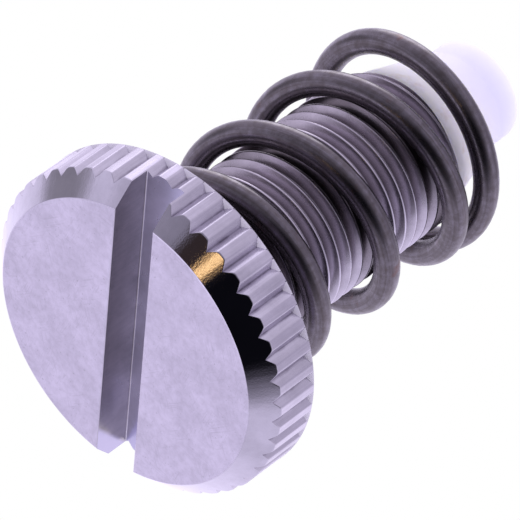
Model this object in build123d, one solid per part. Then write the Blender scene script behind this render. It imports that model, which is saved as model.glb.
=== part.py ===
from build123d import *
import os
from math import cos, pi, radians, sin, tan

# Adjusting screw: a slotted, knurled head and a fine-threaded shank turned as one piece, a compression
# spring loose round the shank, and a nylon tip pressed into the shank's end.
# It stands on the flat face of its head. The origin is the centre of that face, +Z runs to the tip and
# +X lies along the screwdriver slot. Sizes are millimetres, angles are degrees about +Z from +X.

# Head
head_diameter = 16.0
head_height = 3.2
face_chamfer = 1.0
back_chamfer = 0.06
slot_width = 2.1
slot_depth = 2.0

# Knurl: straight V grooves pressed into the rim, which end on a steep ramp just short of the head's back.
knurl_grooves = 45
knurl_depth = 0.28
knurl_groove_angle = 100.0
knurl_back_land = 0.1
knurl_ramp_length = 0.13
knurl_start_angle = -145.4

# Shank: an M8 x 0.75 thread, drawn as its outer cylinder
thread_diameter = 7.92
shank_length = 15.2
shank_end_chamfer = 0.3

# Nylon tip: a plug in the shank's end, a shoulder that sits on the steel and a tapered nose
plug_diameter = 4.0
plug_length = 3.8
plug_end_space = 0.3
drill_point_angle = 118.0
shoulder_diameter = 7.2
shoulder_length = 0.4
taper_length = 3.95
nose_diameter = 5.0
nose_length = 1.25
nose_edge_chamfer = 0.1

# Spring: round wire, right-handed, both ends closed against the next turn. The wire's circle is drawn as
# flats whose corners lie on it.
wire_diameter = 1.18
wire_flat_count = 14
spring_clearance = 0.09
spring_growth = 0.26
spring_pitch = 4.7
spring_turns = 4.9
spring_start_angle = 17.4
closed_end_gap = 0.05
outer_bend_turns = 0.4
outer_lean = 3.05
outer_lean_turns = 0.66
points_per_turn = 16

head_radius = head_diameter / 2
thread_radius = thread_diameter / 2
shank_end = head_height + shank_length
bore_depth = plug_length + plug_end_space
drill_point_depth = plug_diameter / 2 / tan(radians(drill_point_angle / 2))


def turned(points):
    """A solid of revolution about Z from the radius and height of each corner of its half section."""
    return revolve(Plane.XZ * make_face(Polyline(*points, close=True)), Axis.Z)


def knurl_groove():
    """The cutter of one groove, on +X: a V-shaped bar that reaches past the rim, ended by the ramp."""
    root = head_radius - knurl_depth
    reach = 2 * knurl_depth
    half_width = reach * tan(radians(knurl_groove_angle / 2))
    corners = [(root, 0), (root + reach, half_width), (root + reach, -half_width)]
    section = make_face(Polyline(*corners, close=True))
    ramp_end = head_height - knurl_back_land
    ramp = turned([
        (0, ramp_end - knurl_ramp_length),
        (root, ramp_end - knurl_ramp_length),
        (root + reach, ramp_end + (reach / knurl_depth - 1) * knurl_ramp_length),
        (root + reach, 2 * head_height),
        (0, 2 * head_height),
    ])
    return extrude(section, head_height) - ramp


def make_screw():
    """Head and shank in one piece, with the slot, the knurl and the bore that takes the tip's plug."""
    blank = turned([
        (0, 0),
        (head_radius - face_chamfer, 0),
        (head_radius, face_chamfer),
        (head_radius, head_height - back_chamfer),
        (head_radius - back_chamfer, head_height),
        (thread_radius, head_height),
        (thread_radius, shank_end - shank_end_chamfer),
        (thread_radius - shank_end_chamfer, shank_end),
        (plug_diameter / 2, shank_end),
        (plug_diameter / 2, shank_end - bore_depth),
        (0, shank_end - bore_depth - drill_point_depth),
    ])
    slot = Box(2 * head_diameter, slot_width, 2 * slot_depth)
    groove = knurl_groove()
    grooves = [
        Rot(0, 0, knurl_start_angle + i * 360 / knurl_grooves) * groove
        for i in range(knurl_grooves)
    ]
    return blank - slot - grooves


def make_nylon_tip():
    """The tip: its plug, the shoulder on the steel, the taper and the short straight nose."""
    taper_start = shank_end + shoulder_length
    nose_start = taper_start + taper_length
    nose_end = nose_start + nose_length
    return turned([
        (0, shank_end - plug_length),
        (plug_diameter / 2, shank_end - plug_length),
        (plug_diameter / 2, shank_end),
        (shoulder_diameter / 2, shank_end),
        (shoulder_diameter / 2, taper_start),
        (nose_diameter / 2, nose_start),
        (nose_diameter / 2, nose_end - nose_edge_chamfer),
        (nose_diameter / 2 - nose_edge_chamfer, nose_end),
        (0, nose_end),
    ])


def ease(share):
    """A smooth step from 0 to 1."""
    share = min(max(share, 0), 1)
    return share * share * (3 - 2 * share)


coil_radius = thread_radius + spring_clearance + wire_diameter / 2
coil_seat = head_height + wire_diameter / 2
closed_rise = wire_diameter + closed_end_gap

# The near end climbs by just over one wire in its first turn. Its pitch grows evenly to the full pitch.
near_bend_turns = spring_pitch / (2 * closed_rise)


def helix_rise(turn):
    """The wire's rise over the near end and the open turns."""
    if turn < near_bend_turns:
        return spring_pitch * turn**2 / (2 * near_bend_turns)
    return spring_pitch * (turn - near_bend_turns / 2)


def lean_rise(turn):
    """How far the outer end turn rises on its high side, as that turn leans a little on the axis."""
    sway = (coil_radius + spring_growth) * tan(radians(outer_lean))
    return sway * cos(2 * pi * (turn - spring_turns + outer_lean_turns))


# The outer end turn lies at a level that leaves its cut end just clear of the turn before it.
outer_level = helix_rise(spring_turns - 1) + closed_rise - lean_rise(spring_turns)
outer_bend_middle = near_bend_turns / 2 + outer_level / spring_pitch
outer_bend_start = outer_bend_middle - outer_bend_turns / 2
outer_bend_end = outer_bend_middle + outer_bend_turns / 2


def wire_rise(turn):
    """The height of the wire's centre above its seat on the back of the head."""
    if turn < outer_bend_start:
        rise = helix_rise(turn)
    elif turn < outer_bend_end:
        rise = outer_level - spring_pitch * (outer_bend_end - turn) ** 2 / (2 * outer_bend_turns)
    else:
        rise = outer_level
    bent = ease((turn - outer_bend_start) / outer_bend_turns)
    return rise + bent * lean_rise(turn)


def wire_point(turn):
    """The wire's centre after so many turns from its near end. The coil opens a little to its outer end."""
    radius = coil_radius + spring_growth * turn / spring_turns
    angle = radians(spring_start_angle) + 2 * pi * turn
    return Vector(radius * cos(angle), radius * sin(angle), coil_seat + wire_rise(turn))


def make_spring():
    """The wire's section swept along its coil, with plain cut ends."""
    steps = round(spring_turns * points_per_turn)
    path = Spline(*[wire_point(spring_turns * i / steps) for i in range(steps + 1)])
    section = Plane(origin=path @ 0, z_dir=path % 0) * RegularPolygon(wire_diameter / 2, wire_flat_count)
    return sweep(section, path=path, is_frenet=True)


pieces = {
    "screw": make_screw(),
    "spring": make_spring(),
    "nylon_tip": make_nylon_tip(),
}

os.makedirs("parts", exist_ok=True)
for name, piece in pieces.items():
    export_step(piece, f"parts/{name}.step")
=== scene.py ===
from math import atan2, copysign, cos, floor, pi, radians, sin, tan

import bmesh
import bpy
from mathutils import Matrix, Vector


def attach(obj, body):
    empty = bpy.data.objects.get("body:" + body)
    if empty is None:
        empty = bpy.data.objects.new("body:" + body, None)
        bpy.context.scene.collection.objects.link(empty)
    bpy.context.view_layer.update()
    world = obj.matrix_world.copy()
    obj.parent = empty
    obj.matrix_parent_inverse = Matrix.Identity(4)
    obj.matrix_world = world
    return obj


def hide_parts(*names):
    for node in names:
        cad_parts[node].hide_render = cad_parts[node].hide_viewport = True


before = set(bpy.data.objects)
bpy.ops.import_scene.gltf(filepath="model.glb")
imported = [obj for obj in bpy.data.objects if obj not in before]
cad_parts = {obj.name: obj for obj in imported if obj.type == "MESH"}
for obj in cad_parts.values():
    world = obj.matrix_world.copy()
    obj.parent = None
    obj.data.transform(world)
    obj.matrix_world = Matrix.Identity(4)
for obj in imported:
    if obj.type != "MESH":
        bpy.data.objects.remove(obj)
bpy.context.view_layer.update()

# ---------------------------------------------------------------------------------------------------------
# The studio. The screw stands on its head inside a pale light tent. The tent's wall is brightest far from
# the camera and greyer near it, and beside the camera it has a dark opening with a small brass-coloured
# patch at its edge. The steel shows all of that. The camera looks up at the slotted face from below.
# ---------------------------------------------------------------------------------------------------------
scene = bpy.context.scene
scene.view_settings.view_transform = "Standard"

camera_place = Vector((-0.1913, -0.1317, -0.1672))
camera_right = Vector((-0.0719, -0.7600, 0.6460))
camera_up = Vector((-0.7496, 0.4684, 0.4676))
camera_back = Vector((-0.6579, -0.4507, -0.6034))

camera_data = bpy.data.cameras.new("camera")
camera_data.angle = radians(4.467)
camera_data.clip_end = 4
camera = bpy.data.objects.new("camera", camera_data)
camera.matrix_world = Matrix((
    (camera_right.x, camera_up.x, camera_back.x, camera_place.x),
    (camera_right.y, camera_up.y, camera_back.y, camera_place.y),
    (camera_right.z, camera_up.z, camera_back.z, camera_place.z),
    (0, 0, 0, 1),
))
scene.collection.objects.link(camera)
scene.camera = camera


def add_node(tree, kind, **settings):
    """A new node with its properties and unlinked sockets set by name."""
    node = tree.nodes.new(kind)
    for name, value in settings.items():
        if name in node.inputs:
            node.inputs[name].default_value = value
        else:
            setattr(node, name, value)
    return node


def ramp(tree, source, stops):
    """A colour ramp fed by a socket. Each stop is a place and a colour."""
    node = tree.nodes.new("ShaderNodeValToRGB")
    while len(node.color_ramp.elements) < len(stops):
        node.color_ramp.elements.new(0.5)
    for element, (place, colour) in zip(node.color_ramp.elements, stops):
        element.position = place
        element.color = (*colour, 1)
    tree.links.new(source, node.inputs["Fac"])
    return node.outputs["Color"]


def blend_colours(tree, share, first, second, kind="MIX"):
    """The first colour blended towards the second by a share. Each is a socket or a colour."""
    node = tree.nodes.new("ShaderNodeMix")
    node.data_type = "RGBA"
    node.blend_type = kind
    for socket, value in ((node.inputs[0], share), (node.inputs[6], first), (node.inputs[7], second)):
        if isinstance(value, bpy.types.NodeSocket):
            tree.links.new(value, socket)
        elif isinstance(value, (int, float)):
            socket.default_value = value
        else:
            socket.default_value = (*value, 1)
    return node.outputs[2]


def maths(tree, operation, first, second=0.0):
    """One maths node. Each input is a socket or a number."""
    node = tree.nodes.new("ShaderNodeMath")
    node.operation = operation
    for socket, value in zip(node.inputs, (first, second)):
        if isinstance(value, bpy.types.NodeSocket):
            tree.links.new(value, socket)
        else:
            socket.default_value = value
    return node.outputs[0]


tent = bpy.data.worlds.new("light_tent")
scene.world = tent
tent.use_nodes = True
tent_tree = tent.node_tree
tent_tree.nodes.clear()
tent_direction = add_node(tent_tree, "ShaderNodeTexCoord").outputs["Generated"]

tent_tint = (0.985, 0.915, 1.14)
soft_light = (0.97, 0.93, 1.08)

# The wall's tone by how far it lies from the camera: 0 is beside the camera and 1 is straight across.
tent_tones = [
    (0.0, 0.28), (0.07, 0.30), (0.25, 0.48), (0.37, 0.76), (0.5, 0.78),
    (0.64, 0.80), (0.75, 0.88), (0.87, 1.02), (1.0, 1.22),
]

# Round patches on the wall, each laid over those before it. Each has its azimuth, elevation, half width and
# soft edge in degrees, and its colour.
tent_patches = {
    "bright side": (130, 37, 14, 7, (1.15, 1.07, 1.33)),
    "pale side": (-22, 37, 32, 12, (1.02, 0.95, 1.18)),
    "dull side": (-95, 62, 26, 20, (0.50, 0.46, 0.60)),
    "stand's shade": (93, -16, 13, 9, (0.30, 0.28, 0.33)),
    "opening's shade": (-107, -43, 33, 22, (0.035, 0.032, 0.042)),
    "white below": (34, -86, 26, 8, (1.15, 1.07, 1.33)),
    "brown edge": (-170.5, -51, 7, 3, (0.042, 0.030, 0.030)),
    "opening": (-107, -49, 27, 6, (0.004, 0.004, 0.006)),
}
brass_patch = (-155.6, -52.7, 3.3, 1.5)
brass_colours = [(0.44, (0.30, 0.12, 0.02)), (0.5, (0.85, 0.44, 0.11)), (0.58, (2.9, 2.0, 0.95))]


def towards(azimuth, elevation, half_width, soft_edge):
    """1 along a direction, fading smoothly to 0 past a half width. All are in degrees."""
    flat = cos(radians(elevation))
    dot = add_node(tent_tree, "ShaderNodeVectorMath", operation="DOT_PRODUCT")
    tent_tree.links.new(tent_direction, dot.inputs[0])
    dot.inputs[1].default_value = (
        flat * cos(radians(azimuth)), flat * sin(radians(azimuth)), sin(radians(elevation)))
    step = add_node(tent_tree, "ShaderNodeMapRange", interpolation_type="SMOOTHSTEP")
    tent_tree.links.new(dot.outputs["Value"], step.inputs["Value"])
    step.inputs["From Min"].default_value = cos(radians(half_width + soft_edge))
    step.inputs["From Max"].default_value = cos(radians(half_width - soft_edge))
    return step.outputs["Result"]


away = add_node(tent_tree, "ShaderNodeVectorMath", operation="DOT_PRODUCT")
tent_tree.links.new(tent_direction, away.inputs[0])
away.inputs[1].default_value = camera_back
across = maths(tent_tree, "MULTIPLY", maths(tent_tree, "SUBTRACT", 1.0, away.outputs["Value"]), 0.5)
wall = ramp(tent_tree, across, [(place, tuple(c * tone for c in tent_tint)) for place, tone in tent_tones])
for *patch, colour in tent_patches.values():
    wall = blend_colours(tent_tree, towards(*patch), wall, colour)
brass = add_node(tent_tree, "ShaderNodeTexNoise", Scale=45.0, Detail=2.0)
tent_tree.links.new(tent_direction, brass.inputs["Vector"])
brass = ramp(tent_tree, brass.outputs["Fac"], brass_colours)
wall = blend_colours(tent_tree, towards(*brass_patch), wall, brass)

ray = add_node(tent_tree, "ShaderNodeLightPath").outputs
soft = blend_colours(tent_tree, ray["Is Diffuse Ray"], wall, soft_light)
seen = blend_colours(tent_tree, ray["Is Camera Ray"], soft, (1, 1, 1))
tent_light = add_node(tent_tree, "ShaderNodeBackground", Strength=1.0)
tent_output = add_node(tent_tree, "ShaderNodeOutputWorld")
tent_tree.links.new(seen, tent_light.inputs["Color"])
tent_tree.links.new(tent_light.outputs[0], tent_output.inputs["Surface"])

key_data = bpy.data.lights.new("soft_key", "AREA")
key_data.shape = "DISK"
key_data.size = 0.12
key_data.energy = 0.05
key = bpy.data.objects.new("soft_key", key_data)
key.location = (-0.05, 0.10, 0.16)
key.rotation_euler = (-key.location).to_track_quat("-Z", "Y").to_euler()
scene.collection.objects.link(key)

bpy.ops.object.select_all(action="DESELECT")
bpy.ops.mesh.primitive_plane_add(size=3.0, location=(0, 0, 0))
floor_sheet = bpy.context.object
floor_sheet.name = "floor"
floor_paper = bpy.data.materials.new("floor_paper")
floor_paper.use_nodes = True
floor_tree = floor_paper.node_tree
floor_tree.nodes.clear()
paper = add_node(floor_tree, "ShaderNodeBsdfDiffuse", Color=(0.82, 0.82, 0.84, 1))
clear = add_node(floor_tree, "ShaderNodeBsdfTransparent")
side = add_node(floor_tree, "ShaderNodeNewGeometry").outputs["Backfacing"]
top_side = add_node(floor_tree, "ShaderNodeMixShader")
floor_output = add_node(floor_tree, "ShaderNodeOutputMaterial")
floor_tree.links.new(side, top_side.inputs[0])
floor_tree.links.new(paper.outputs[0], top_side.inputs[1])
floor_tree.links.new(clear.outputs[0], top_side.inputs[2])
floor_tree.links.new(top_side.outputs[0], floor_output.inputs["Surface"])
floor_sheet.data.materials.append(floor_paper)
floor_sheet.visible_shadow = False
floor_sheet.visible_diffuse = False
floor_sheet.visible_glossy = False
floor_sheet.visible_transmission = False

# ---------------------------------------------------------------------------------------------------------
# The screw's head. It is turned from bright steel bar with a chamfered flat face, and 45 straight V grooves
# are rolled into its rim, which run out just short of the back. A slot is milled right across the face.
# Everything is drawn in millimetres and brought to metres at the end.
# ---------------------------------------------------------------------------------------------------------
head_radius = 8.0
head_height = 3.2
face_radius = 7.0
slot_width = 2.1
slot_depth = 2.0
slot_round = 0.055
slot_flare = 0.03
# The darker tone at the bottom of each groove, and how unevenly it reaches.
groove_bottom_tone = (0.50, 0.48, 0.52)
groove_tone_unevenness = 0.22
# Painted reflection: the lighter colour at one end of the slot walls, and the slant of its edge.
slot_end_painted_reflection = (0.60, 0.575, 0.73)
reflection_edge_slant = 1.03
groove_count = 45
first_groove = -145.4
ramp_length = 0.13
back_land = 0.1
ramp_blend = 0.03
back_chamfer = 0.06
edge_round = 0.05
merge_distance = 0.0005


def deselect():
    bpy.ops.object.select_all(action="DESELECT")


def start_editing(piece):
    deselect()
    piece.select_set(True)
    bpy.context.view_layer.objects.active = piece
    bpy.ops.object.mode_set(mode="EDIT")


def stop_editing():
    bpy.ops.object.mode_set(mode="OBJECT")


def pick(piece, wanted):
    """Selects the vertices whose place passes a test, and the edges and faces between them."""
    bpy.ops.mesh.select_mode(type="VERT")
    bpy.ops.mesh.select_all(action="DESELECT")
    drawn = bmesh.from_edit_mesh(piece.data)
    for vertex in drawn.verts:
        vertex.select = wanted(vertex.co)
    drawn.select_flush(True)
    bmesh.update_edit_mesh(piece.data)


def move_picked(piece, new_place):
    """Moves each selected vertex to a new place worked out from its own."""
    drawn = bmesh.from_edit_mesh(piece.data)
    for vertex in drawn.verts:
        if vertex.select:
            vertex.co = new_place(vertex.co)
    bmesh.update_edit_mesh(piece.data)


def apply_modifier(piece, kind, **settings):
    """Adds a modifier and applies it at once."""
    deselect()
    piece.select_set(True)
    bpy.context.view_layer.objects.active = piece
    modifier = piece.modifiers.new(kind.lower(), kind)
    for name, value in settings.items():
        setattr(modifier, name, value)
    bpy.ops.object.modifier_apply(modifier=modifier.name)


def cut(piece, tool, operation="DIFFERENCE"):
    """Cuts a piece with a tool, or joins or trims them, and takes the tool away."""
    apply_modifier(piece, "BOOLEAN", operation=operation, solver="EXACT", object=tool)
    bpy.data.objects.remove(tool)


def close_up(piece):
    """Merges doubled vertices and turns every face outwards."""
    start_editing(piece)
    bpy.ops.mesh.select_all(action="SELECT")
    bpy.ops.mesh.remove_doubles(threshold=merge_distance)
    bpy.ops.mesh.normals_make_consistent(inside=False)
    stop_editing()


def radius_of(place):
    return (place.x**2 + place.y**2) ** 0.5


def at_radius(place, radius, height):
    """The point at another radius and height with the same angle."""
    share = radius / radius_of(place)
    return Vector((place.x * share, place.y * share, height))


deselect()
bpy.ops.mesh.primitive_circle_add(vertices=groove_count * 12, radius=head_radius)
head = bpy.context.object
head.name = "screw_bright"
start_editing(head)

# Half of one groove's profile, by distance from its middle and depth: a V with slightly rounded corners.
groove_profile = [(0, 0.28), (0.12, 0.178), (0.235, 0.084), (0.30, 0.036), (0.36, 0.010), (0.43, 0)]
groove_profile.append((pi * head_radius / groove_count, 0))
step_angle = pi / groove_count / (len(groove_profile) - 1)


def press_groove(place):
    """Moves a vertex of the plain rim to its place on the nearest groove's profile."""
    steps = round(atan2(place.y, place.x) / step_angle)
    groove = round(steps * step_angle * groove_count / (2 * pi))
    step = steps - groove * 2 * (len(groove_profile) - 1)
    sideways, pressed = groove_profile[abs(step)]
    turned = groove * 2 * pi / groove_count + copysign(sideways, step) / head_radius + radians(first_groove)
    radius = head_radius - pressed
    return Vector((radius * cos(turned), radius * sin(turned), 0))


bpy.ops.mesh.select_all(action="SELECT")
move_picked(head, press_groove)

# The rim rises from the chamfer to a ramp on which the grooves run out, and ends in a plain narrow land.
ramp_end = head_height - back_land


def rim_foot(place):
    return Vector((place.x, place.y, radius_of(place) - face_radius + edge_round))


def ramp_start(place):
    pressed = head_radius - radius_of(place)
    return Vector((place.x, place.y, ramp_end - ramp_length * pressed / groove_profile[0][1]))


bpy.ops.mesh.select_all(action="SELECT")
move_picked(head, rim_foot)
bpy.ops.mesh.extrude_region_move()
move_picked(head, ramp_start)
for radius, height in (
    (head_radius, ramp_end + ramp_blend),
    (head_radius, head_height - back_chamfer),
    (head_radius - back_chamfer, head_height),
):
    bpy.ops.mesh.extrude_region_move()
    move_picked(head, lambda place: at_radius(place, radius, height))
bpy.ops.mesh.edge_face_add()

# Below the rim the corner is rounded in two steps, then the chamfer's cone runs to the rounded face edge.
pick(head, lambda place: place.z < 2)
for inward, down in ((0.184, 0.924), (0.523, 0.783)):
    bpy.ops.mesh.extrude_region_move()
    move_picked(head, lambda place: at_radius(
        place, radius_of(place) - inward * edge_round, place.z - down * edge_round))
for outward, height in ((0.707, 0.707), (-0.076, 0.184), (-1.0, 0.0)):
    bpy.ops.mesh.extrude_region_move()
    move_picked(head, lambda place: at_radius(place, face_radius + outward * edge_round, height * edge_round))
bpy.ops.mesh.edge_face_add()
bpy.ops.mesh.select_all(action="SELECT")
bpy.ops.mesh.normals_make_consistent(inside=False)
stop_editing()

# The slot's cutter: a long bar whose inner edges are round and whose walls flare out at the face.
deselect()
bpy.ops.mesh.primitive_cube_add(size=1, location=(0, 0, 0))
slot_cutter = bpy.context.object
start_editing(slot_cutter)
bpy.ops.transform.resize(
    value=(3 * head_radius, slot_width, slot_depth - slot_flare), center_override=(0, 0, 0))
bpy.ops.transform.translate(value=(0, 0, (slot_depth + slot_flare) / 2))
bpy.ops.mesh.select_all(action="DESELECT")
drawn = bmesh.from_edit_mesh(slot_cutter.data)
for edge in drawn.edges:
    edge.select = all(v.co.z > 1 for v in edge.verts) and abs(edge.verts[0].co.x - edge.verts[1].co.x) > 1
bmesh.update_edit_mesh(slot_cutter.data)
bpy.ops.mesh.select_mode(type="EDGE")
bpy.ops.mesh.bevel(offset=slot_round, segments=4, affect="EDGES")
pick(slot_cutter, lambda place: place.z < 1)
bpy.ops.mesh.extrude_region_move(TRANSFORM_OT_translate={"value": (0, 0, -1 - slot_flare)})
widened = 1 + (1 + slot_flare) / (slot_width / 2)
bpy.ops.transform.resize(value=(1, widened, 1), center_override=(0, 0, -1))
stop_editing()
cut(head, slot_cutter)

# ---------------------------------------------------------------------------------------------------------
# The screw's shank, in one piece with the head. It carries a fine right-handed thread of 0.75 mm pitch
# with narrow flat crests, runs out in a small chamfer, and is bored at its end for the tip's plug.
# ---------------------------------------------------------------------------------------------------------
thread_radius = 3.96
thread_pitch = 0.75
thread_depth = 0.44
crest_width = 0.10
root_width = 0.12
crest_round = 0.03
crest_height = 8.183
crest_azimuth = -145.59
shank_end = 18.4
shank_chamfer = 0.3
bore_radius = 2.0
bore_depth = 4.1
drill_point = 1.2
thread_turns = 23
steps_around = 128
join_depth = 0.4
trim_margin = 0.5
# Painted light and shade on the thread: the side left lighter, the darkening elsewhere, and the reach and
# darkness of the painted shade near the spring.
lit_side_azimuth = -78
thread_painted_shade = (0.90, 0.88, 0.86)
painted_shade_reach = 0.0012
spring_painted_shade = (0.30, 0.28, 0.27)


def draw_profile(name, points):
    """A chain of edges in the XZ plane, drawn point by point from a single vertex."""
    deselect()
    bpy.ops.mesh.primitive_plane_add(size=1)
    profile = bpy.context.object
    profile.name = name
    start_editing(profile)
    bpy.ops.mesh.select_all(action="SELECT")
    bpy.ops.mesh.merge(type="CENTER")
    bpy.ops.mesh.select_all(action="SELECT")
    bpy.ops.transform.translate(value=Vector((points[0][0], 0, points[0][1])))
    for before, after in zip(points, points[1:]):
        step = Vector((after[0] - before[0], 0, after[1] - before[1]))
        bpy.ops.mesh.extrude_vertices_move(TRANSFORM_OT_translate={"value": step})
    stop_editing()
    return profile


def turn(name, points, segments):
    """A closed solid turned from its half section, whose first and last points lie on the axis."""
    solid = draw_profile(name, points)
    start_editing(solid)
    bpy.ops.mesh.select_all(action="SELECT")
    bpy.ops.mesh.spin(steps=segments, angle=2 * pi, center=(0, 0, 0), axis=(0, 0, 1))
    stop_editing()
    close_up(solid)
    return solid


flank = (thread_pitch - crest_width - root_width) / 2
thread_root = thread_radius - thread_depth
thread_start = crest_height - thread_pitch * (floor((crest_height - head_height) / thread_pitch) + 2)
thread_start -= thread_pitch * crest_azimuth / 360
profile_points = [
    (thread_root, -crest_width / 2 - flank - root_width),
    (thread_root, -crest_width / 2 - flank),
    (thread_radius, -crest_width / 2),
    (thread_radius, crest_width / 2),
    (thread_root, crest_width / 2 + flank),
]
profile_points = [(radius, height + thread_start) for radius, height in profile_points]
thread = draw_profile("thread", profile_points)
start_editing(thread)
pick(thread, lambda place: profile_points[0][1] + 0.001 < place.z < profile_points[-1][1] - 0.001)
bpy.ops.mesh.bevel(offset=crest_round, segments=2, affect="VERTICES")
stop_editing()
apply_modifier(
    thread, "SCREW",
    angle=2 * pi, screw_offset=thread_pitch, iterations=thread_turns, steps=steps_around,
    render_steps=steps_around, use_merge_vertices=True, merge_threshold=merge_distance,
)
close_up(thread)
start_editing(thread)
drawn = bmesh.from_edit_mesh(thread.data)
middle = sum(vertex.co.z for vertex in drawn.verts) / len(drawn.verts)
for lower in (True, False):
    bpy.ops.mesh.select_mode(type="EDGE")
    bpy.ops.mesh.select_all(action="DESELECT")
    drawn = bmesh.from_edit_mesh(thread.data)
    for edge in drawn.edges:
        edge.select = edge.is_boundary and (edge.verts[0].co.z < middle) == lower
    bmesh.update_edit_mesh(thread.data)
    bpy.ops.mesh.extrude_edges_move()
    bpy.ops.mesh.merge(type="CENTER")
bpy.ops.mesh.select_all(action="SELECT")
bpy.ops.mesh.normals_make_consistent(inside=False)
stop_editing()

shank_blank = turn("shank_blank", [
    (0, head_height - join_depth),
    (thread_radius + trim_margin, head_height - join_depth),
    (thread_radius + trim_margin, shank_end - shank_chamfer - trim_margin),
    (thread_radius - shank_chamfer, shank_end),
    (bore_radius, shank_end),
    (bore_radius, shank_end - bore_depth),
    (0, shank_end - bore_depth - drill_point),
], steps_around)
cut(thread, shank_blank, "INTERSECT")
cut(head, thread, "UNION")


def to_metres(piece):
    """Brings a finished piece from millimetres to metres."""
    start_editing(piece)
    bpy.ops.mesh.select_all(action="SELECT")
    bpy.ops.transform.resize(value=(0.001, 0.001, 0.001), center_override=(0, 0, 0))
    stop_editing()


def smooth(piece, angle):
    """Shades a piece smooth up to an angle, with its broad faces kept flat and its narrow edges round."""
    deselect()
    piece.select_set(True)
    bpy.context.view_layer.objects.active = piece
    bpy.ops.object.shade_smooth_by_angle(angle=radians(angle))
    apply_modifier(piece, "WEIGHTED_NORMAL", mode="FACE_AREA", weight=90, keep_sharp=True)


smooth(head, 27)
to_metres(head)


def paint(piece, material, wanted):
    """Gives the material to the faces whose centre and normal pass a test."""
    piece.data.materials.append(material)
    place = len(piece.data.materials) - 1
    for face in piece.data.polygons:
        if wanted(face.center * 1000, face.normal):
            face.material_index = place


def object_place(tree):
    """The place on the finished piece, in millimetres."""
    metres = add_node(tree, "ShaderNodeTexCoord").outputs["Object"]
    millimetres = add_node(tree, "ShaderNodeMapping", Scale=(1000, 1000, 1000))
    tree.links.new(metres, millimetres.inputs["Vector"])
    return millimetres.outputs["Vector"]


def start_material(name):
    """A node material, with its shader and the place that its pattern is laid out by."""
    material = bpy.data.materials.new(name)
    material.use_nodes = True
    tree = material.node_tree
    return material, tree, tree.nodes["Principled BSDF"], object_place(tree)


def set_relief(tree, shader, height, depth):
    """Gives a material a fine relief, with its depth in metres."""
    relief = add_node(tree, "ShaderNodeBump", Strength=1.0, Distance=depth)
    tree.links.new(height, relief.inputs["Height"])
    tree.links.new(relief.outputs["Normal"], shader.inputs["Normal"])


def along(tree, place, direction):
    """How far a place lies along a direction."""
    dot = add_node(tree, "ShaderNodeVectorMath", operation="DOT_PRODUCT")
    tree.links.new(place, dot.inputs[0])
    dot.inputs[1].default_value = direction
    return dot.outputs["Value"]


def grain(tree, place, scale, turned=(0, 0, 0), detail=3.0, roughness=0.5):
    """Noise stretched by a scale along each axis and turned by angles in degrees."""
    turn_node = add_node(tree, "ShaderNodeMapping", Rotation=[radians(a) for a in turned])
    tree.links.new(place, turn_node.inputs["Vector"])
    stretch = add_node(tree, "ShaderNodeMapping", Scale=scale)
    tree.links.new(turn_node.outputs["Vector"], stretch.inputs["Vector"])
    noise = add_node(tree, "ShaderNodeTexNoise", Scale=1.0, Detail=detail, Roughness=roughness)
    tree.links.new(stretch.outputs["Vector"], noise.inputs["Vector"])
    return noise.outputs["Fac"]


# Each family of scratches on the face: its angle, length in millimetres, density, threshold and the turn of
# the patches it shows in.
scratch_families = [
    (20, 1.6, 16, 0.60, 40),
    (75, 1.2, 18, 0.61, 90),
    (128, 2.0, 14, 0.62, 90),
    (160, 0.9, 20, 0.60, 90),
]


def scratches(tree, place, angle, length, count, amount, offset):
    """Short straight scratches at an angle across the face: 1 in a scratch and 0 elsewhere."""
    line = grain(tree, place, (1 / length, count, 0.1), (0, 0, angle), detail=2)
    thin = ramp(tree, line, [(amount, (0, 0, 0)), (amount + 0.05, (1, 1, 1))])
    patch = grain(tree, place, (0.5, 0.5, 0.5), (0, 0, angle + offset), detail=1)
    where = ramp(tree, patch, [(0.5, (0, 0, 0)), (0.58, (1, 1, 1))])
    return maths(tree, "MULTIPLY", thin, where)


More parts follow.
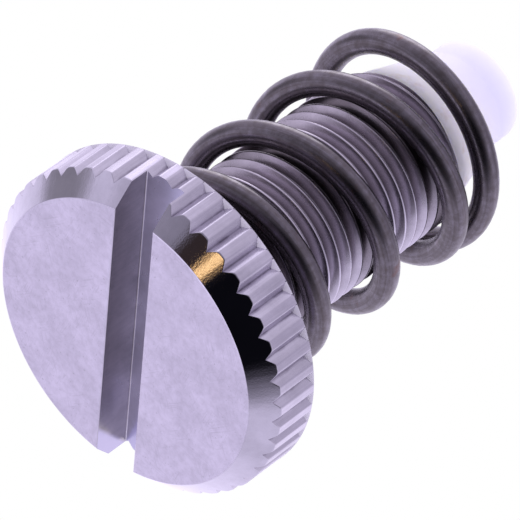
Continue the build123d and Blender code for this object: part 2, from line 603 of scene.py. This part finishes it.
def bright_steel(
    name, colour, roughness, cloud_size=1.0, cloud_depth=0.1, lined=False, scratched=False, grit=12, depth=4e-7,
):
    """Bare bright steel: faintly cloudy, with fine lines along the axis or fine scratches across the face."""
    material, tree, shader, place = start_material(name)
    cloud = grain(tree, place, (1 / cloud_size,) * 3, detail=6, roughness=0.65)
    dark = tuple(c * (1 - cloud_depth) for c in colour)
    steel = ramp(tree, cloud, [(0.35, dark), (0.6, colour)])
    stain = grain(tree, place, (0.45, 0.45, 0.45), detail=4)
    stain = ramp(tree, stain, [(0.42, (0.9, 0.9, 0.9)), (0.58, (1, 1, 1))])
    steel = blend_colours(tree, 1.0, steel, stain, "MULTIPLY")
    height = grain(tree, place, (grit,) * 3, detail=3)
    if lined:
        lines = grain(tree, place, (9, 9, 0.4), detail=4)
        height = maths(tree, "ADD", lines, height)
        shade = ramp(tree, lines, [(0.38, (0.93, 0.93, 0.93)), (0.6, (1, 1, 1))])
        steel = blend_colours(tree, 1.0, steel, shade, "MULTIPLY")
    if scratched:
        marks = 0.0
        for family in scratch_families:
            marks = maths(tree, "MAXIMUM", marks, scratches(tree, place, *family))
        height = maths(tree, "SUBTRACT", height, maths(tree, "MULTIPLY", marks, 1.5))
        dull, black = (tuple(c * share for c in colour) for share in (0.6, 0.45))
        steel = blend_colours(tree, maths(tree, "MULTIPLY", marks, 0.3), steel, dull)
        specks = ramp(tree, grain(tree, place, (7, 7, 7), detail=1), [(0.70, (0, 0, 0)), (0.74, (1, 1, 1))])
        steel = blend_colours(tree, maths(tree, "MULTIPLY", specks, 0.45), steel, black)
    tree.links.new(steel, shader.inputs["Base Color"])
    rough = ramp(tree, cloud, [(0.3, (roughness * 1.1,) * 3), (0.65, (roughness * 0.9,) * 3)])
    tree.links.new(rough, shader.inputs["Roughness"])
    set_relief(tree, shader, height, depth)
    shader.inputs["Metallic"].default_value = 1.0
    return material


def recolour(tree, share, colour, kind="MULTIPLY"):
    """Lays another colour over the base colour of a material."""
    base = tree.nodes["Principled BSDF"].inputs["Base Color"]
    tree.links.new(blend_colours(tree, share, base.links[0].from_socket, colour, kind), base)


rim_steel = bright_steel(
    "rolled_rim_steel", (0.71, 0.675, 0.765), 0.22, cloud_size=0.8, cloud_depth=0.08, lined=True, depth=5e-7)
face_steel = bright_steel(
    "ground_face_steel", (0.76, 0.72, 0.85), 0.34, cloud_size=0.35, cloud_depth=0.12, scratched=True,
    depth=5e-7)
chamfer_steel = bright_steel(
    "turned_chamfer_steel", (0.68, 0.655, 0.75), 0.06, cloud_depth=0.08, grit=13, depth=2.2e-6)
# The slot walls' dark colour is partly painted shade of the recess.
slot_steel = bright_steel(
    "milled_slot_steel", (0.47, 0.445, 0.435), 0.25, cloud_depth=0.14, lined=True, depth=5e-7)
slot_floor_steel = bright_steel("slot_floor_steel", (0.68, 0.66, 0.88), 0.30)
# Painted highlight: a pale, half-metallic steel on the run-out ramps and the slot's rounded corner stands in
# for the bright light they catch.
painted_highlight_steel = bright_steel("painted_highlight_steel", (0.86, 0.82, 0.93), 0.45, cloud_depth=0.05)
painted_highlight_steel.node_tree.nodes["Principled BSDF"].inputs["Metallic"].default_value = 0.3
thread_steel = bright_steel("thread_steel", (0.74, 0.70, 0.80), 0.26, cloud_size=0.8)

# Painted shade and light: the thread is darkened all round except on one side, which is left lighter, and
# darkened further by ambient occlusion where the spring stands close.
tree = thread_steel.node_tree
lit_side_direction = Vector((cos(radians(lit_side_azimuth)), sin(radians(lit_side_azimuth)), 0)) / thread_radius
painted_light = along(tree, object_place(tree), lit_side_direction)
recolour(tree, 1.0, ramp(tree, painted_light, [(0.55, thread_painted_shade), (0.95, (1, 1, 1))]))
spring_occlusion = add_node(tree, "ShaderNodeAmbientOcclusion", samples=8, Distance=painted_shade_reach)
recolour(tree, 1.0, ramp(tree, spring_occlusion.outputs["AO"], [(0.25, spring_painted_shade), (0.75, (1, 1, 1))]))

# The slot walls' dark colour is partly painted shade of the recess and partly the milled steel's own duller
# tone. Towards one end a lighter colour, bounded by a slanted line, is a painted reflection.
tree = slot_steel.node_tree
past_reflection_edge = maths(tree, "SUBTRACT", along(tree, object_place(tree), (1, 0, -reflection_edge_slant)), 5.0)
painted_light = ramp(tree, past_reflection_edge, [(0.6, (0, 0, 0)), (0.9, (1, 1, 1))])
recolour(tree, painted_light, slot_end_painted_reflection, "MIX")

# The bottom of each groove is darker, a little unevenly.
tree = rim_steel.node_tree
place = object_place(tree)
flat_place = add_node(tree, "ShaderNodeVectorMath", operation="MULTIPLY")
tree.links.new(place, flat_place.inputs[0])
flat_place.inputs[1].default_value = (1, 1, 0)
reach = add_node(tree, "ShaderNodeVectorMath", operation="LENGTH")
tree.links.new(flat_place.outputs["Vector"], reach.inputs[0])
uneven = maths(tree, "MULTIPLY", grain(tree, place, (2.5, 2.5, 1.2), detail=5, roughness=0.6), groove_tone_unevenness)
above_groove_bottom = maths(tree, "SUBTRACT", maths(tree, "ADD", reach.outputs["Value"], uneven), head_radius - 1)
recolour(tree, 1.0, ramp(tree, above_groove_bottom, [(0.80, groove_bottom_tone), (0.89, (1, 1, 1))]))


def on_slot_wall(place, normal):
    inside = abs(place.y) < slot_width / 2 + 0.005 and radius_of(place) < head_radius - 0.1
    return inside and slot_flare < place.z < slot_depth + 0.01


def in_slot_corner(place, normal):
    inside = abs(place.y) < slot_width / 2 and slot_depth - slot_round < place.z < slot_depth - 0.002
    return inside and 0.2 < abs(normal.z) < 0.98


def on_ramp(place, normal):
    return ramp_end - ramp_length < place.z < head_height - 0.05 and normal.z < -0.5


# The rim's steel comes first, so it stays on every face that none of the later tests picks.
chamfer_height = head_radius - face_radius
paint(head, rim_steel, lambda place, normal: False)
paint(head, face_steel, lambda place, normal: place.z < 0.03)
paint(head, chamfer_steel, lambda place, normal: place.z < chamfer_height and -0.85 < normal.z < -0.5)
paint(head, slot_steel, on_slot_wall)
paint(head, slot_floor_steel, lambda place, normal: (
    abs(place.y) < slot_width / 2 and abs(place.z - slot_depth) < 0.005))
# Painted highlight on the run-out ramps and in the slot's rounded corner.
paint(head, painted_highlight_steel, on_ramp)
paint(head, painted_highlight_steel, in_slot_corner)
paint(head, thread_steel, lambda place, normal: place.z > head_height + 0.01)

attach(head, "root")
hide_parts("screw")

# ---------------------------------------------------------------------------------------------------------
# The spring, wound right-handed from round dark wire and slipped over the shank. Its end against the head
# is closed, and its outer end turn is closed too and leans a little. Both ends are cut off square.
# ---------------------------------------------------------------------------------------------------------
wire_radius = 0.59
spring_clearance = 0.09
spring_growth = 0.26
spring_pitch = 4.7
spring_turns = 4.9
spring_start_angle = 17.4
closed_rise = 2 * wire_radius + 0.05
outer_bend_turns = 0.4
outer_lean = 3.05
outer_lean_turns = 0.66
near_bend_turns = spring_pitch / (2 * closed_rise)
coil_radius = thread_radius + spring_clearance + wire_radius
cut_end_round = 0.05
wire_colours = [(0.38, (0.135, 0.118, 0.12)), (0.52, (0.19, 0.172, 0.188)), (0.68, (0.28, 0.26, 0.30))]
rust = (0.17, 0.07, 0.05)
streaks_along_wire = 22.0


def ease(share):
    share = min(max(share, 0), 1)
    return share * share * (3 - 2 * share)


def helix_rise(turn):
    if turn < near_bend_turns:
        return spring_pitch * turn**2 / (2 * near_bend_turns)
    return spring_pitch * (turn - near_bend_turns / 2)


def lean_rise(turn):
    sway = (coil_radius + spring_growth) * tan(radians(outer_lean))
    return sway * cos(2 * pi * (turn - spring_turns + outer_lean_turns))


outer_level = helix_rise(spring_turns - 1) + closed_rise - lean_rise(spring_turns)
outer_bend_middle = near_bend_turns / 2 + outer_level / spring_pitch


def wire_place(turn):
    """The middle of the wire after so many turns from the head, in millimetres."""
    left = outer_bend_middle + outer_bend_turns / 2 - turn
    if left > outer_bend_turns:
        rise = helix_rise(turn)
    elif left > 0:
        rise = outer_level - spring_pitch * left**2 / (2 * outer_bend_turns)
    else:
        rise = outer_level
    rise += ease(1 - left / outer_bend_turns) * lean_rise(turn)
    radius = coil_radius + spring_growth * turn / spring_turns
    angle = radians(spring_start_angle) + 2 * pi * turn
    return Vector((radius * cos(angle), radius * sin(angle), head_height + wire_radius + rise))


# The wire's middle line is drawn point by point, turned into a curve and given the wire's round section.
steps_per_turn = 72
wire_steps = round(spring_turns * steps_per_turn)
line = [wire_place(spring_turns * step / wire_steps) for step in range(wire_steps + 1)]
deselect()
bpy.ops.mesh.primitive_plane_add(size=1)
spring = bpy.context.object
spring.name = "spring_wire"
start_editing(spring)
bpy.ops.mesh.select_all(action="SELECT")
bpy.ops.mesh.merge(type="CENTER")
bpy.ops.mesh.select_all(action="SELECT")
bpy.ops.transform.translate(value=line[0])
for before, after in zip(line, line[1:]):
    bpy.ops.mesh.extrude_vertices_move(TRANSFORM_OT_translate={"value": after - before})
stop_editing()
bpy.ops.object.convert(target="CURVE")
spring.data.bevel_depth = wire_radius
spring.data.bevel_resolution = 10
spring.data.use_fill_caps = True
bpy.ops.object.convert(target="MESH")
spring = bpy.context.object
close_up(spring)
apply_modifier(spring, "BEVEL", width=cut_end_round, segments=2, limit_method="ANGLE", angle_limit=radians(60))
smooth(spring, 40)
to_metres(spring)

oiled_wire, tree, shader, place = start_material("dark_oiled_wire")
# The streaks follow the wire: its own map counts its length from 0 to 1 and its section once round.
wire_map = add_node(tree, "ShaderNodeSeparateXYZ")
tree.links.new(add_node(tree, "ShaderNodeTexCoord").outputs["UV"], wire_map.inputs[0])
around = maths(tree, "MULTIPLY", wire_map.outputs["Y"], 2 * pi)
wire_frame = add_node(tree, "ShaderNodeCombineXYZ")
tree.links.new(maths(tree, "MULTIPLY", wire_map.outputs["X"], streaks_along_wire), wire_frame.inputs["X"])
tree.links.new(maths(tree, "COSINE", around), wire_frame.inputs["Y"])
tree.links.new(maths(tree, "SINE", around), wire_frame.inputs["Z"])
streaks = grain(tree, wire_frame.outputs[0], (1, 4, 4), detail=6, roughness=0.6)
scale_marks = grain(tree, place, (2.5, 2.5, 2.5), detail=6, roughness=0.65)
shade = maths(tree, "MULTIPLY", maths(tree, "ADD", streaks, scale_marks), 0.5)
rust_patch = ramp(tree, grain(tree, place, (0.7, 0.7, 0.7), detail=5), [(0.66, (0, 0, 0)), (0.72, (1, 1, 1))])
rust_share = maths(tree, "MULTIPLY", rust_patch, 0.4)
wire_colour = blend_colours(tree, rust_share, ramp(tree, shade, wire_colours), rust)
tree.links.new(wire_colour, shader.inputs["Base Color"])
wire_rough = ramp(tree, shade, [(0.38, (0.34,) * 3), (0.62, (0.22,) * 3)])
tree.links.new(wire_rough, shader.inputs["Roughness"])
set_relief(tree, shader, shade, 3e-6)
shader.inputs["Metallic"].default_value = 1.0
spring.data.materials.clear()
spring.data.materials.append(oiled_wire)

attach(spring, "root")
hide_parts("spring")

# ---------------------------------------------------------------------------------------------------------
# The nylon tip, turned from white rod. Its plug is pressed into the shank's bore, its shoulder sits on the
# steel, and its nose tapers to a short straight end.
# ---------------------------------------------------------------------------------------------------------
plug_length = 3.8
shoulder_radius = 3.6
shoulder_length = 0.4
nose_radius = 2.5
nose_start = 22.75
nose_end = 24.0
nose_round = 0.1
white_nylon = [(0.3, (0.775, 0.76, 0.95)), (0.7, (0.80, 0.78, 0.96))]
oily_smear = (0.72, 0.62, 0.54)
# Painted light: the lighter white laid on the nylon next to the steel, where the spring shades it.
nylon_painted_light = (0.92, 0.88, 1.0)
nylon_clearness = 0.0026
nylon_tip = turn("nylon_tip_white", [
    (0, shank_end - plug_length),
    (bore_radius, shank_end - plug_length),
    (bore_radius, shank_end),
    (shoulder_radius, shank_end),
    (shoulder_radius, shank_end + shoulder_length),
    (nose_radius, nose_start),
    (nose_radius, nose_end),
    (0, nose_end),
], segments=96)
apply_modifier(nylon_tip, "BEVEL", width=nose_round, segments=3, limit_method="ANGLE", angle_limit=radians(10))
smooth(nylon_tip, 30)
to_metres(nylon_tip)

nylon, tree, shader, place = start_material("white_nylon")
# Painted light: the white is made lighter next to the steel, where the spring shades it. A few oily smears lie
# on the shoulder.
white = ramp(tree, grain(tree, place, (0.5, 0.5, 0.5), detail=3), white_nylon)
above_steel = maths(tree, "SUBTRACT", along(tree, place, (0, 0, 1)), shank_end)
near_steel_share = ramp(tree, maths(tree, "MULTIPLY", above_steel, 0.2), [(0.3, (1, 1, 1)), (0.9, (0, 0, 0))])
white = blend_colours(tree, near_steel_share, white, nylon_painted_light)
smears = ramp(tree, grain(tree, place, (0.9, 0.9, 0.9), detail=4), [(0.56, (0, 0, 0)), (0.68, (1, 1, 1))])
low = ramp(tree, above_steel, [(0.6, (1, 1, 1)), (1.0, (0, 0, 0))])
smears = maths(tree, "MULTIPLY", maths(tree, "MULTIPLY", smears, low), 0.7)
tree.links.new(blend_colours(tree, smears, white, oily_smear), shader.inputs["Base Color"])
set_relief(tree, shader, grain(tree, place, (1, 1, 12), detail=4), 1e-6)
shader.inputs["Roughness"].default_value = 0.5
shader.inputs["Specular IOR Level"].default_value = 0.25
shader.inputs["Subsurface Weight"].default_value = 1.0
shader.inputs["Subsurface Radius"].default_value = (1, 1, 1.2)
shader.inputs["Subsurface Scale"].default_value = nylon_clearness
nylon_tip.data.materials.append(nylon)

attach(nylon_tip, "root")
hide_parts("nylon_tip")
